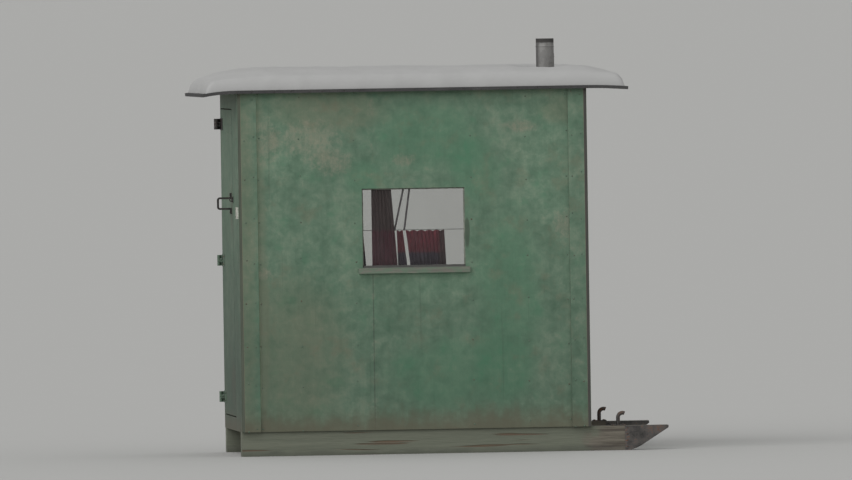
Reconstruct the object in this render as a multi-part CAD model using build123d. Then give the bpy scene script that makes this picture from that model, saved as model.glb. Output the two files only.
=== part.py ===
import os
from math import asin, cos, degrees, radians, sqrt, tan

from build123d import *

# Plan of the hut, in millimetres; the front wall faces -Y, the door end -X and the towing end +X
narrow_sheet = 745
wide_sheet = 1219
hut_depth = 1219
cladding_height = 1930
nose_reach = 445
roof_over_door_end = 200
roof_over_nose_end = 238
roof_over_sides = 40

# Sheet and timber sections
end_skin = 18
side_skin = 12
corner_board_thickness = 12
corner_board_width = 90
timber = 38
stud_depth = 64
joist_height = 89
deck_thickness = 12
runner_height = 140
runner_width = 89
runner_inset = 15

# Runner nose, its steel shoe and the tow hook
nose_slope = 32
nose_bend_radius = 220
nose_tip_height = 14
shoe_thickness = 3
shoe_length = 250
hook_from_wall = 160
hook_rod_radius = 11
hook_stem = 40
hook_bend_radius = 26
hook_bend_angle = 115
hook_plate_length = 80
hook_plate_width = 64
hook_plate_thickness = 6

# Floor and the fishing well in it
floor_joist_count = 6
well_length = 520
well_back_offset = 130

# Wall framing
right_wall_stud_count = 4
window_frame_gap = 20
roof_joist_count = 5

# Roof sheet with its felt; both ends have sagged
roof_thickness = 15
felt_thickness = 3
droop_door_end = 18
droop_nose_end = 10

# Stove pipe and its flashing
pipe_radius = 51
pipe_wall = 1.5
pipe_above_roof = 268
pipe_below_ceiling = 125
pipe_from_nose_end = 195
pipe_from_front = 400
pipe_hole_gap = 20
bead_depth = 2
bead_half = 4
bead_from_top = 45
flashing_side = 260
flashing_thickness = 1.5
flashing_cone_height = 55
flashing_cone_foot = 78
flashing_fit = 0.2

# Snow lying on the roof, melted away round the pipe as far as its flashing reaches
snow_depth = 116
snow_edge_depth = 60
snow_inset = 16
snow_slope_run = 340
snow_crown_radius = 1500
snow_shoulder_radius = 38
snow_gap = 12
snow_melt_spread = 45

# Windows, each measured from the door end and from the top of the cladding
window_width = 588
window_height = 452
window_from_door_end = 706
window_drop = 553
back_window_width = 620
back_window_height = 480
back_window_from_door_end = 805
back_window_drop = 555
pane_thickness = 3
pane_lap = 15
stop_thickness = 8
sill_height = 32
sill_depth = 26
sill_ears = 25
sill_fall = 6

# Curtains behind the front window
rod_radius = 5
rod_above_window = 10
rod_from_pane = 16
wire_radius = 1.5
wire_below_window_top = 239
wire_from_pane = 42
curtain_thickness = 16
curtain_fit = 0.3
curtain_hem_drop = 14
tall_curtain_left = 57
tall_curtain_right = 169
tall_curtain_flare = 35
tall_curtain_tuck = 4
tall_curtain_bulge = 27
short_curtain_tops = ((-12, 8), (202, 236), (254, 474))
short_curtain_hems = ((-12, 26), (208, 262), (280, 484))

# Door in the end wall, measured from the strip that carries its hinges
hinge_strip_width = 32
door_width = 770
door_top_drop = 95
door_bottom_above_runner = 83
door_thickness = 12
door_gap = 7
door_lap = 20
batten_thickness = 18
batten_height = 90
batten_clearance = 12
batten_end_margin = 110

# Hinges: three on one axis, the top one heavier
hinge_axis_offset = 24
hinge_below_door_top = 85
hinge_above_door_bottom = 97
heavy_barrel_radius = 16
barrel_radius = 9
barrel_length = 62
knuckle_gap = 0.5
pin_radius = 4
pin_fit = 0.3
leaf_thickness = 3
leaf_length = 70
door_leaf_width = 120
jamb_leaf_width = 30
web_thickness = 6

# Pull handle, hasp, staple and bare plate on the door end
handle_height = 1440
handle_span = 72
handle_reach = 84
handle_bar = 11
handle_width = 16
handle_bend_radius = 16
handle_foot = 24
handle_from_edge = 85
hasp_above_handle = 23
hasp_length = 62
hasp_width = 26
hasp_thickness = 3
hasp_from_edge = 5
hasp_slot_length = 26
hasp_slot_width = 9
hasp_corner_radius = 6
staple_from_opening = 22
staple_plate_height = 40
staple_plate_width = 26
staple_plate_thickness = 2
staple_bar = 5
staple_reach = 22
staple_span = 24
staple_bend_radius = 9
plate_width = 170
plate_height = 66
plate_thickness = 2
plate_corner_radius = 5
plate_from_front = 25
plate_bottom = 1356

# Places that follow from the plan
hut_width = 2 * end_skin + narrow_sheet + wide_sheet
left = roof_over_door_end - (roof_over_door_end + hut_width + nose_reach) / 2
right = left + hut_width
front = -hut_depth / 2
back = hut_depth / 2
inner_left = left + end_skin
inner_right = right - end_skin
sheet_front = front + corner_board_thickness
sheet_back = back - corner_board_thickness
frame_front = sheet_front + side_skin
frame_back = sheet_back - side_skin
seam = inner_left + narrow_sheet
joist_top = runner_height + joist_height
floor_top = joist_top + deck_thickness
wall_top = runner_height + cladding_height
plate_top = wall_top - joist_height
roof_top = wall_top + roof_thickness + felt_thickness

window_left = left + window_from_door_end
window_right = window_left + window_width
window_top = wall_top - window_drop
window_bottom = window_top - window_height
back_window_left = left + back_window_from_door_end
back_window_right = back_window_left + back_window_width
back_window_top = wall_top - back_window_drop
back_window_bottom = back_window_top - back_window_height

door_hinge_edge = back - hinge_strip_width - door_gap
door_free_edge = door_hinge_edge - door_width
door_top = wall_top - door_top_drop
door_bottom = runner_height + door_bottom_above_runner
jamb_face = door_free_edge + door_lap
hinge_x = left - hinge_axis_offset
top_hinge = door_top - hinge_below_door_top
bottom_hinge = door_bottom + hinge_above_door_bottom
hasp_height = handle_height + hasp_above_handle


def block(x, y, z):
    # A box between two limits along each axis
    centre = ((x[0] + x[1]) / 2, (y[0] + y[1]) / 2, (z[0] + z[1]) / 2)
    return Pos(*centre) * Box(x[1] - x[0], y[1] - y[0], z[1] - z[0])


def upright_slab(points, y):
    # A closed outline in the XZ plane, given its thickness between two Y limits
    outline = make_face(Polyline(*[(px, 0, pz) for px, pz in points], close=True))
    return extrude(Pos(0, y[0], 0) * outline, amount=y[1] - y[0], dir=(0, 1, 0))


def spaced(start, end, count, width):
    # Near edges of pieces set out evenly, the first and last flush with the ends
    pitch = (end - start - width) / (count - 1)
    return [start + i * pitch for i in range(count)]


def save(name, *solids):
    shape = solids[0] if len(solids) == 1 else Compound(children=list(solids))
    export_step(shape, f"parts/{name}.step")


# Runners with a sloping nose, a bent steel shoe and a tow hook

def runner_outline(grow=0):
    # The underside rises to the nose; grow moves it outwards for the shoe
    tip = right + nose_reach - shoe_thickness + grow
    slope = radians(nose_slope)
    lift = grow * (1 / cos(slope) - 1)
    heel = tip - (runner_height - nose_tip_height + lift) / tan(slope)
    top = Line((tip, 0, runner_height), (left, 0, runner_height))
    rear = Line(top @ 1, (left, 0, -grow))
    under = FilletPolyline(rear @ 1, (heel, 0, -grow), (tip, 0, runner_height - nose_tip_height),
                           radius=nose_bend_radius)
    return make_face(Curve() + [top, rear, under, Line(under @ 1, top @ 0)])


def runner(y):
    return extrude(Pos(0, y, 0) * runner_outline(), amount=runner_width, dir=(0, 1, 0))


def nose_shoe(y):
    # A folded sheet over both cheeks and the slope, open at the top
    wide = runner_width + 2 * shoe_thickness
    outline = Pos(0, y - shoe_thickness, 0) * runner_outline(shoe_thickness)
    shell = extrude(outline, amount=wide, dir=(0, 1, 0))
    tip = right + nose_reach
    reach = block((tip - shoe_length, tip), (y - runner_width, y + 2 * runner_width), (0, runner_height))
    return (shell & reach) - runner(y)


def tow_hook(y):
    # A rod bent over towards the nose, welded to a plate on top of the runner
    foot = Pos(right + hook_from_wall, y + runner_width / 2, runner_height)
    half = (hook_plate_length / 2, hook_plate_width / 2)
    plate = block((-half[0], half[0]), (-half[1], half[1]), (0, hook_plate_thickness))
    stem = Line((0, 0, 0), (0, 0, hook_plate_thickness + hook_stem))
    bend = CenterArc((hook_bend_radius, 0), hook_bend_radius, 180, -hook_bend_angle)
    bend = Pos(0, 0, hook_plate_thickness + hook_stem) * Rot(90, 0, 0) * bend
    rod = sweep(Plane.XY * Circle(hook_rod_radius), path=Curve() + [stem, bend])
    return foot * (plate + rod)


# Floor

def floor_joists():
    return [block((x, x + timber), (frame_front + timber, frame_back - timber), (runner_height, joist_top))
            for x in spaced(inner_left, inner_right, floor_joist_count, timber)]


def floor_rims():
    return [block((inner_left, inner_right), y, (runner_height, joist_top))
            for y in ((frame_front, frame_front + timber), (frame_back - timber, frame_back))]


def well_limits():
    # The well lies between the two middle joists, towards the back wall
    joists = spaced(inner_left, inner_right, floor_joist_count, timber)
    middle = floor_joist_count // 2
    x = (joists[middle - 1] + timber, joists[middle])
    y = (frame_back - well_back_offset - well_length, frame_back - well_back_offset)
    return x, y


def deck_ends():
    x, _ = well_limits()
    return [block(limits, (frame_front, frame_back), (joist_top, floor_top))
            for limits in ((inner_left, x[0] - timber / 2), (x[1] + timber / 2, inner_right))]


def deck_middle():
    x, y = well_limits()
    return [block((x[0] - timber / 2, x[1] + timber / 2), limits, (joist_top, floor_top))
            for limits in ((frame_front, y[0]), (y[1], frame_back))]


# Wall framing

def long_wall_plates(y):
    return [block((inner_left, inner_right), y, z)
            for z in ((floor_top, floor_top + timber), (plate_top - timber, plate_top))]


def framing_limits(x, z):
    # Outer faces of the timbers round a window
    beside = (x[0] - window_frame_gap - timber, x[1] + window_frame_gap + timber)
    over = (z[0] - window_frame_gap - timber, z[1] + window_frame_gap + timber)
    return beside, over


def long_wall_studs(y, window_x, window_z):
    # Full studs beside the window and between it and the corners, short ones over and under it
    beside, over = framing_limits(window_x, window_z)
    foot = floor_top + timber
    head = plate_top - timber
    full = [inner_left, beside[0], beside[1] - timber, inner_right - timber]
    full += [(full[0] + full[1]) / 2, (full[2] + full[3]) / 2]
    studs = [block((x, x + timber), y, (foot, head)) for x in full]
    short = (beside[0] + beside[1] - timber) / 2
    if beside[0] + timber < seam - timber / 2 < short:
        short = seam - timber / 2
    short_x = (short, short + timber)
    return studs + [block(short_x, y, (foot, over[0])), block(short_x, y, (over[1], head))]


def window_framing(y, window_x, window_z):
    # The sill piece and the header, flat between the studs
    beside, over = framing_limits(window_x, window_z)
    x = (beside[0] + timber, beside[1] - timber)
    return [block(x, y, (over[0], over[0] + timber)), block(x, y, (over[1] - timber, over[1]))]


def end_wall_plates(x, open_from=None):
    y = (frame_front + stud_depth, frame_back - stud_depth)
    lower_y = y if open_from is None else (y[0], open_from)
    sole = block(x, lower_y, (floor_top, floor_top + timber))
    return [sole, block(x, y, (plate_top - timber, plate_top))]


def end_wall_studs(x, starts):
    return [block(x, (y, y + timber), (floor_top + timber, plate_top - timber)) for y in starts]


# Cladding

def long_wall_sheet(x, y, window_x, window_z):
    sheet = block(x, y, (runner_height, wall_top))
    return sheet - block(window_x, (y[0] - 1, y[1] + 1), window_z)


def door_end_sheets():
    x = (left, inner_left)
    beside = block(x, (front, door_free_edge - door_gap), (runner_height, wall_top))
    span = (door_free_edge - door_gap, door_hinge_edge + door_gap)
    over = block(x, span, (door_top + door_gap, wall_top))
    under = block(x, span, (runner_height, door_bottom - door_gap))
    strip = block(x, (door_hinge_edge + door_gap, back), (runner_height, wall_top))
    return beside, over, under, strip


def corner_boards():
    wide = corner_board_width
    boards = []
    for y in ((front, sheet_front), (sheet_back, back)):
        for x in ((inner_left, inner_left + wide), (inner_right - wide, inner_right)):
            boards.append(block(x, y, (runner_height, wall_top)))
    return boards


# Roof

def sagging_end(edge, reach, droop, level, inset, side):
    # An arc that leaves the wall top level; the felt's outer corner ends at the full reach
    radius = (reach ** 2 + droop ** 2) / (2 * droop)
    turn = degrees(asin(reach / (radius + roof_thickness + felt_thickness)) - inset / radius)
    return CenterArc((edge, wall_top - radius), radius + level, 90, -side * turn)


def roof_outline(level, inset):
    # From the underside at the wall top up to the given level
    faces = []
    for height in (level, 0):
        left_arc = sagging_end(left, roof_over_door_end, droop_door_end, height, inset, -1)
        right_arc = sagging_end(right, roof_over_nose_end, droop_nose_end, height, inset, 1)
        faces.append((left_arc, Line(left_arc @ 0, right_arc @ 0), right_arc))
    upper, lower = faces
    ends = [Line(upper[i] @ 1, lower[i] @ 1) for i in (0, 2)]
    return Rot(90, 0, 0) * make_face(Curve() + [*upper, *lower, *ends])


def roof_slab(level, inset):
    depth = hut_depth + 2 * roof_over_sides - 2 * inset
    return extrude(Pos(0, -depth / 2, 0) * roof_outline(level, inset), amount=depth, dir=(0, 1, 0))


def pipe_place():
    return Pos(right - pipe_from_nose_end, front + pipe_from_front, 0)


def pipe_hole():
    return pipe_place() * Pos(0, 0, wall_top) * Cylinder(pipe_radius + pipe_hole_gap, 4 * joist_height)


def roof_deck():
    return roof_slab(roof_thickness, felt_thickness) - pipe_hole()


def roof_felt():
    # Laid over the sheet and turned down over all four edges
    covered = roof_slab(roof_thickness + felt_thickness, 0)
    return covered - roof_slab(roof_thickness, felt_thickness) - pipe_hole()


def roof_joists():
    return [block((x, x + timber), (frame_front, frame_back), (plate_top, wall_top))
            for x in spaced(inner_left, inner_right, roof_joist_count, timber)]


def flue_pipe():
    # Rolled sheet steel, with a stiffening bead near the top
    low = wall_top - pipe_below_ceiling
    high = roof_top + pipe_above_roof
    bead = high - bead_from_top
    side = [(0, low), (0, bead - bead_half), (bead_depth, bead), (0, bead + bead_half), (0, high)]
    outside = [(pipe_radius + out, height) for out, height in side]
    inside = [(pipe_radius - pipe_wall + out, height) for out, height in reversed(side)]
    wall = make_face(Polyline(*outside, *inside, close=True))
    return pipe_place() * revolve(Plane.XZ * wall, axis=Axis.Z)


def flue_flashing():
    # A flat flange on the felt with a cone that closes on the pipe
    foot = flashing_cone_foot
    neck = pipe_radius + flashing_fit
    height = flashing_cone_height
    sheet = flashing_thickness
    flange = Pos(0, 0, sheet / 2) * Box(flashing_side, flashing_side, sheet)
    flange -= Cylinder(foot - sheet, 4 * sheet)
    cone = Polyline((foot, 0), (neck + sheet, height), (neck, height), (foot - sheet, 0), close=True)
    collar = revolve(Plane.XZ * make_face(cone), axis=Axis.Z)
    return pipe_place() * Pos(0, 0, roof_top) * (flange + collar)


def snow_profile(low, high, droops):
    # Upright sides, rounded shoulders and a long slope to the flat middle
    base = wall_top - max(droops)
    shoulder = roof_top + snow_edge_depth
    crest = roof_top + snow_depth
    points = [(low, base), (low, shoulder - droops[0]), (low + snow_slope_run, crest),
              (high - snow_slope_run, crest), (high, shoulder - droops[1]), (high, base)]
    face = make_face(Polyline(*[(px, 0, pz) for px, pz in points], close=True))
    levels = face.vertices().group_by(Axis.Z)
    face = fillet([corner for level in levels[1:-1] for corner in level], snow_shoulder_radius)
    return fillet(face.vertices().group_by(Axis.Z)[-1], snow_crown_radius)


def roof_snow():
    # Its underside lies on the felt and follows the sagging ends
    x = (left - roof_over_door_end + snow_inset, right + roof_over_nose_end - snow_inset)
    y = (front - roof_over_sides + snow_inset, back + roof_over_sides - snow_inset)
    along = snow_profile(*x, (droop_door_end, droop_nose_end))
    across = Rot(0, 0, 90) * snow_profile(*y, (0, 0))
    snow = extrude(Pos(0, y[0], 0) * along, amount=y[1] - y[0], dir=(0, 1, 0))
    snow &= extrude(Pos(x[0], 0, 0) * across, amount=x[1] - x[0], dir=(1, 0, 0))
    foot = flashing_side / sqrt(2) + snow_gap
    hollow = Pos(0, 0, roof_top + snow_depth / 2) * Cone(foot, foot + snow_melt_spread, snow_depth)
    return snow - roof_slab(roof_thickness + felt_thickness, 0) - pipe_place() * hollow


# Windows

def pane(y, x, z):
    return block((x[0] - pane_lap, x[1] + pane_lap), y, (z[0] - pane_lap, z[1] + pane_lap))


def window_stops(y, x, z):
    # A slim ring of bead that keeps the pane against the sheet
    return pane(y, x, z) - block(x, (y[0] - 1, y[1] + 1), z)


def window_sill(face, outwards, x, low):
    # A strip under the opening whose top falls outwards
    out = face + outwards * sill_depth
    profile = Polyline((0, face, low), (0, face, low - sill_height), (0, out, low - sill_height),
                       (0, out, low - sill_fall), close=True)
    sill = extrude(make_face(profile), amount=x[1] - x[0] + 2 * sill_ears, dir=(1, 0, 0))
    return Pos(x[0] - sill_ears, 0, 0) * sill


# Curtains

def curtain_rail(radius, inset, height):
    x = (window_left - window_frame_gap, window_right + window_frame_gap)
    centre = ((x[0] + x[1]) / 2, frame_front + pane_thickness + inset, height)
    return Pos(*centre) * Rot(0, 90, 0) * Cylinder(radius, x[1] - x[0])


def hanging_cloth(rail_inset, top, corners):
    # A flat-sided cloth under its rail, drawn from the window's left edge
    middle = frame_front + pane_thickness + rail_inset
    low = window_bottom - curtain_hem_drop
    heights = {"top": top, "low": low, "wire": window_top - wire_below_window_top}
    points = [(window_left + across, heights[level]) for across, level in corners]
    return upright_slab(points, (middle - curtain_thickness / 2, middle + curtain_thickness / 2))


def tall_curtain():
    top = window_top + rod_above_window - rod_radius - curtain_fit
    near = tall_curtain_left
    far = tall_curtain_right
    return hanging_cloth(rod_from_pane, top, [
        (near, "top"), (near - tall_curtain_tuck, "wire"), (near, "low"),
        (far + tall_curtain_flare, "low"), (far + tall_curtain_bulge, "wire"), (far, "top"),
    ])


def short_curtains():
    # Each is drawn between two places along the wire and hangs between two others at its hem
    rail = window_top - wire_below_window_top - wire_radius - curtain_fit
    curtains = []
    for top, hem in zip(short_curtain_tops, short_curtain_hems):
        corners = [(top[0], "top"), (top[1], "top"), (hem[1], "low"), (hem[0], "low")]
        curtains.append(hanging_cloth(wire_from_pane, rail, corners))
    return curtains


# Door, hinged at the back edge and opening outwards

def door_panel():
    y = (door_free_edge, door_hinge_edge)
    return block((left, left + door_thickness), y, (door_bottom, door_top))


def door_battens():
    # Three ledges behind the panel, clear of the jambs
    x = (left + door_thickness, left + door_thickness + batten_thickness)
    y = (jamb_face + batten_clearance, frame_back - stud_depth - batten_clearance)
    low = door_bottom + batten_end_margin
    high = door_top - batten_end_margin
    half = batten_height / 2
    return [block(x, y, (z - half, z + half)) for z in (low, (low + high) / 2, high)]


def knuckle_heights():
    # Lower, middle and upper thirds of a barrel, with a running gap between them
    third = barrel_length / 3
    return [((i - 1.5) * third + knuckle_gap / 2, (i - 0.5) * third - knuckle_gap / 2) for i in range(3)]


def barrel(radius, limits):
    return Pos(0, 0, (limits[0] + limits[1]) / 2) * Cylinder(radius, limits[1] - limits[0])


def hinge_half(radius, knuckles, side, leaf_width):
    # Knuckles on the axis, a web back to the wall face and a leaf flat on it
    half = leaf_length / 2
    near = side * door_gap / 2
    face = hinge_axis_offset
    edges = sorted((near, near + side * leaf_width))
    piece = block((face - leaf_thickness, face), edges, (-half, half))
    web = sorted((near, near + side * web_thickness))
    for limits in knuckles:
        piece += block((0, face), web, limits)
        piece += barrel(radius, limits)
    return piece


def hinges():
    # The door half turns on the pin that the jamb half holds
    door_leaves = []
    jamb_leaves = []
    low, middle, high = knuckle_heights()
    for height in (top_hinge, (top_hinge + bottom_hinge) / 2, bottom_hinge):
        radius = heavy_barrel_radius if height == top_hinge else barrel_radius
        place = Pos(hinge_x, door_hinge_edge + door_gap / 2, height)
        bore = Cylinder(pin_radius + pin_fit, barrel_length)
        door_leaves.append(place * (hinge_half(radius, [middle], -1, door_leaf_width) - bore))
        pin = Cylinder(pin_radius, barrel_length - knuckle_gap)
        jamb_leaves.append(place * (hinge_half(radius, [low, high], 1, jamb_leaf_width) + pin))
    return door_leaves, jamb_leaves


def bent_bar(reach, half, thickness, width, radius):
    # A U of flat bar standing out from the wall face, rounded at both bends
    sides = []
    for inset in (0, thickness):
        far = inset - reach
        edge = half - inset
        corners = ((0, -edge), (far, -edge), (far, edge), (0, edge))
        sides.append(FilletPolyline(*corners, radius=radius - inset))
    outer, inner = sides
    ends = [Line(outer @ 0, inner @ 0), Line(outer @ 1, inner @ 1)]
    face = make_face(Curve() + [outer, inner, *ends])
    return Pos(0, width / 2, 0) * extrude(Plane.XZ * face, amount=width)


def door_handle():
    # A bent flat bar with its two ends turned up and down against the door
    half = handle_span / 2
    centre = Pos(left, door_free_edge + handle_from_edge, handle_height)
    grip = bent_bar(handle_reach, half, handle_bar, handle_width, handle_bend_radius)
    for side in (-1, 1):
        foot = sorted((side * (half - handle_bar), side * (half + handle_foot)))
        grip += block((-handle_bar, 0), (-handle_width / 2, handle_width / 2), foot)
    return centre * grip


def door_hasp():
    # A slotted strap folded back on the door
    y = door_free_edge + hasp_from_edge
    z = (hasp_height - hasp_width / 2, hasp_height + hasp_width / 2)
    strap = block((left - hasp_thickness, left), (y, y + hasp_length), z)
    centre = Pos(left, y + hasp_length / 2, hasp_height)
    slot = centre * Box(4 * hasp_thickness, hasp_slot_length, hasp_slot_width)
    return fillet(strap.edges().filter_by(Axis.X), hasp_corner_radius) - slot


def jamb_staple():
    # A U-shaped bow on a small plate, beside the free edge
    y = door_free_edge - door_gap - staple_from_opening
    place = Pos(left, y, hasp_height)
    plate = block((-staple_plate_thickness, 0), (-staple_plate_width / 2, staple_plate_width / 2),
                  (-staple_plate_height / 2, staple_plate_height / 2))
    bow = bent_bar(staple_reach, staple_span / 2, staple_bar, staple_bar, staple_bend_radius)
    return place * (plate + bow)


def number_plate():
    y = front + plate_from_front
    z = (plate_bottom, plate_bottom + plate_height)
    plate = block((left - plate_thickness, left), (y, y + plate_width), z)
    return fillet(plate.edges().filter_by(Axis.X), plate_corner_radius)


def build():
    runner_y = (sheet_front + runner_inset, sheet_back - runner_inset - runner_width)
    save("front_runner", runner(runner_y[0]))
    save("back_runner", runner(runner_y[1]))
    save("nose_shoes", *[nose_shoe(y) for y in runner_y])
    save("tow_hooks", *[tow_hook(y) for y in runner_y])

    save("floor_joists", *floor_joists())
    save("floor_rims", *floor_rims())
    save("floor_deck_ends", *deck_ends())
    save("floor_deck_middle", *deck_middle())

    front_frame = (frame_front, frame_front + stud_depth)
    back_frame = (frame_back - stud_depth, frame_back)
    window_x = (window_left, window_right)
    window_z = (window_bottom, window_top)
    back_window_x = (back_window_left, back_window_right)
    back_window_z = (back_window_bottom, back_window_top)
    save("front_wall_plates", *long_wall_plates(front_frame))
    save("front_wall_studs", *long_wall_studs(front_frame, window_x, window_z))
    save("front_window_framing", *window_framing(front_frame, window_x, window_z))
    save("back_wall_plates", *long_wall_plates(back_frame))
    save("back_wall_studs", *long_wall_studs(back_frame, back_window_x, back_window_z))
    save("back_window_framing", *window_framing(back_frame, back_window_x, back_window_z))

    left_frame = (inner_left, inner_left + stud_depth)
    right_frame = (inner_right - stud_depth, inner_right)
    end_span = (frame_front + stud_depth, frame_back - stud_depth)
    save("left_wall_plates", *end_wall_plates(left_frame, jamb_face))
    save("left_wall_studs", *end_wall_studs(left_frame, (end_span[0], jamb_face - timber)))
    save("right_wall_plates", *end_wall_plates(right_frame))
    save("right_wall_studs", *end_wall_studs(right_frame, spaced(*end_span, right_wall_stud_count, timber)))

    front_sheets = (sheet_front, frame_front)
    back_sheets = (frame_back, sheet_back)
    for end, x in (("left", (inner_left, seam)), ("right", (seam, inner_right))):
        save(f"front_sheet_{end}", long_wall_sheet(x, front_sheets, window_x, window_z))
        save(f"back_sheet_{end}", long_wall_sheet(x, back_sheets, back_window_x, back_window_z))
    beside, over, under, strip = door_end_sheets()
    save("left_sheet_beside_door", beside)
    save("left_sheet_over_door", over)
    save("left_sheet_under_door", under)
    save("left_hinge_strip", strip)
    save("right_sheet", block((inner_right, right), (front, back), (runner_height, wall_top)))
    save("corner_boards", *corner_boards())

    save("roof_joists", *roof_joists())
    save("roof_deck", roof_deck())
    save("roof_felt", roof_felt())
    save("roof_snow", roof_snow())
    save("flue_pipe", flue_pipe())
    save("flue_flashing", flue_flashing())

    front_pane = (frame_front, frame_front + pane_thickness)
    back_pane = (frame_back - pane_thickness, frame_back)
    front_stop = (front_pane[1], front_pane[1] + stop_thickness)
    back_stop = (back_pane[0] - stop_thickness, back_pane[0])
    save("front_window_pane", pane(front_pane, window_x, window_z))
    save("back_window_pane", pane(back_pane, back_window_x, back_window_z))
    save("window_stops", window_stops(front_stop, window_x, window_z),
         window_stops(back_stop, back_window_x, back_window_z))
    save("window_sills", window_sill(sheet_front, -1, window_x, window_bottom),
         window_sill(sheet_back, 1, back_window_x, back_window_bottom))

    save("curtain_rod", curtain_rail(rod_radius, rod_from_pane, window_top + rod_above_window))
    save("curtain_wire", curtain_rail(wire_radius, wire_from_pane, window_top - wire_below_window_top))
    save("tall_curtain", tall_curtain())
    for name, cloth in zip(("left", "middle", "right"), short_curtains()):
        save(f"short_curtain_{name}", cloth)

    save("door_panel", door_panel())
    save("door_battens", *door_battens())
    door_leaves, jamb_leaves = hinges()
    save("door_hinge_leaves", *door_leaves)
    save("jamb_hinge_leaves", *jamb_leaves)
    save("door_handle", door_handle())
    save("door_hasp", door_hasp())
    save("jamb_staple", jamb_staple())
    save("number_plate", number_plate())


os.makedirs("parts", exist_ok=True)
build()
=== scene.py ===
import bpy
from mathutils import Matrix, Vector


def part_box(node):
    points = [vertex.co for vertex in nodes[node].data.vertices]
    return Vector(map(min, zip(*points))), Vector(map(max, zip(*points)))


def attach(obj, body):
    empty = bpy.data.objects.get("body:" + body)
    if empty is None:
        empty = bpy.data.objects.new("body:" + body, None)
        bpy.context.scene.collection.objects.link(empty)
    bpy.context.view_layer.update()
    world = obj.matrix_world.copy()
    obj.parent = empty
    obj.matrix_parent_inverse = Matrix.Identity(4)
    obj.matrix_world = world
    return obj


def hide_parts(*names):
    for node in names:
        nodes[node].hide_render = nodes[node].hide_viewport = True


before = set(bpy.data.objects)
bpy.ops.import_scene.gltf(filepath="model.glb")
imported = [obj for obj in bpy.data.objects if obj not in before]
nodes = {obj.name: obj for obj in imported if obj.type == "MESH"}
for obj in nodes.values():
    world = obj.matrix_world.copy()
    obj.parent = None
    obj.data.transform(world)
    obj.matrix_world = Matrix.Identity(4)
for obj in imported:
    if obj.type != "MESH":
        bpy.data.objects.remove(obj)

from fnmatch import fnmatch
from math import cos, pi, radians, sin, sqrt

import bmesh
import bpy
from mathutils import Matrix, Vector, noise
from mathutils.bvhtree import BVHTree

scene = bpy.context.scene
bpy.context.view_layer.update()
print("frame loaded:", len(nodes), "nodes")


# Places, read off the frame

def solidBoxes(node):
    # The limits of each separate solid in a node
    mesh = bmesh.new()
    mesh.from_mesh(nodes[node].data)
    bmesh.ops.remove_doubles(mesh, verts=mesh.verts, dist=1e-5)
    found = []
    left = set(mesh.verts)
    while left:
        group = [left.pop()]
        for vert in group:
            near = {edge.other_vert(vert) for edge in vert.link_edges} & left
            left -= near
            group += near
        spans = [[vert.co[axis] for vert in group] for axis in range(3)]
        found.append((Vector([min(span) for span in spans]), Vector([max(span) for span in spans])))
    mesh.free()
    return sorted(found, key=lambda box: tuple(round(value, 4) for value in box[0]))


def boxCentre(box):
    return (box[0] + box[1]) / 2


def opening(pane):
    # The hole in the wall that a pane closes
    low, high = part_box(pane)
    return {"left": low.x + paneLap, "right": high.x - paneLap,
            "bottom": low.z + paneLap, "top": high.z - paneLap}


paneLap = 0.015        # how far a pane reaches behind the edge of its opening
boardStart = 0.018     # from an end wall's face to the corner board
boardWide = 0.090
rightLow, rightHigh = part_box("right_sheet")
frontLow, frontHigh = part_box("front_sheet_left")
backLow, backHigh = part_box("back_sheet_left")
besideLow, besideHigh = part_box("left_sheet_beside_door")
doorLow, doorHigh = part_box("door_panel")
feltLow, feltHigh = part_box("roof_felt")
pipeLow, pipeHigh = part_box("flue_pipe")
frontWindow = opening("front_window_pane")
backWindow = opening("back_window_pane")
boardEdges = [besideLow.x + boardStart + boardWide, rightHigh.x - boardStart - boardWide]
hut = {
    "left": besideLow.x, "right": rightHigh.x, "front": rightLow.y, "back": rightHigh.y,
    "low": rightLow.z, "top": rightHigh.z, "seam": frontHigh.x,
    "pipe": boxCentre((pipeLow, pipeHigh)), "pipeTop": pipeHigh.z, "pipeRadius": 0.051,
}


# Shader and geometry node helpers

class Wire:
    # A socket that can be reckoned with: each operator adds its Math node
    def __init__(self, graph, socket):
        self.graph = graph
        self.socket = socket

    def math(self, operation, *others):
        return self.graph.node("Math", (self, *others), operation=operation)

    def __add__(self, other):
        return self.math("ADD", other)

    def __sub__(self, other):
        return self.math("SUBTRACT", other)

    def __rsub__(self, other):
        return self.graph.node("Math", (other, self), operation="SUBTRACT")

    def __mul__(self, other):
        return self.math("MULTIPLY", other)

    def __abs__(self):
        return self.math("ABSOLUTE")

    def wave(self):
        return self.math("SINE")

    __radd__ = __add__
    __rmul__ = __mul__


def shown(colour):
    # Colours are tuples, as they show on screen from 0 to 255; this is the light one stands for
    parts = [value / 255 for value in colour]
    light = [part / 12.92 if part <= 0.04045 else ((part + 0.055) / 1.055) ** 2.4 for part in parts]
    return (*light, 1.0)


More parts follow.
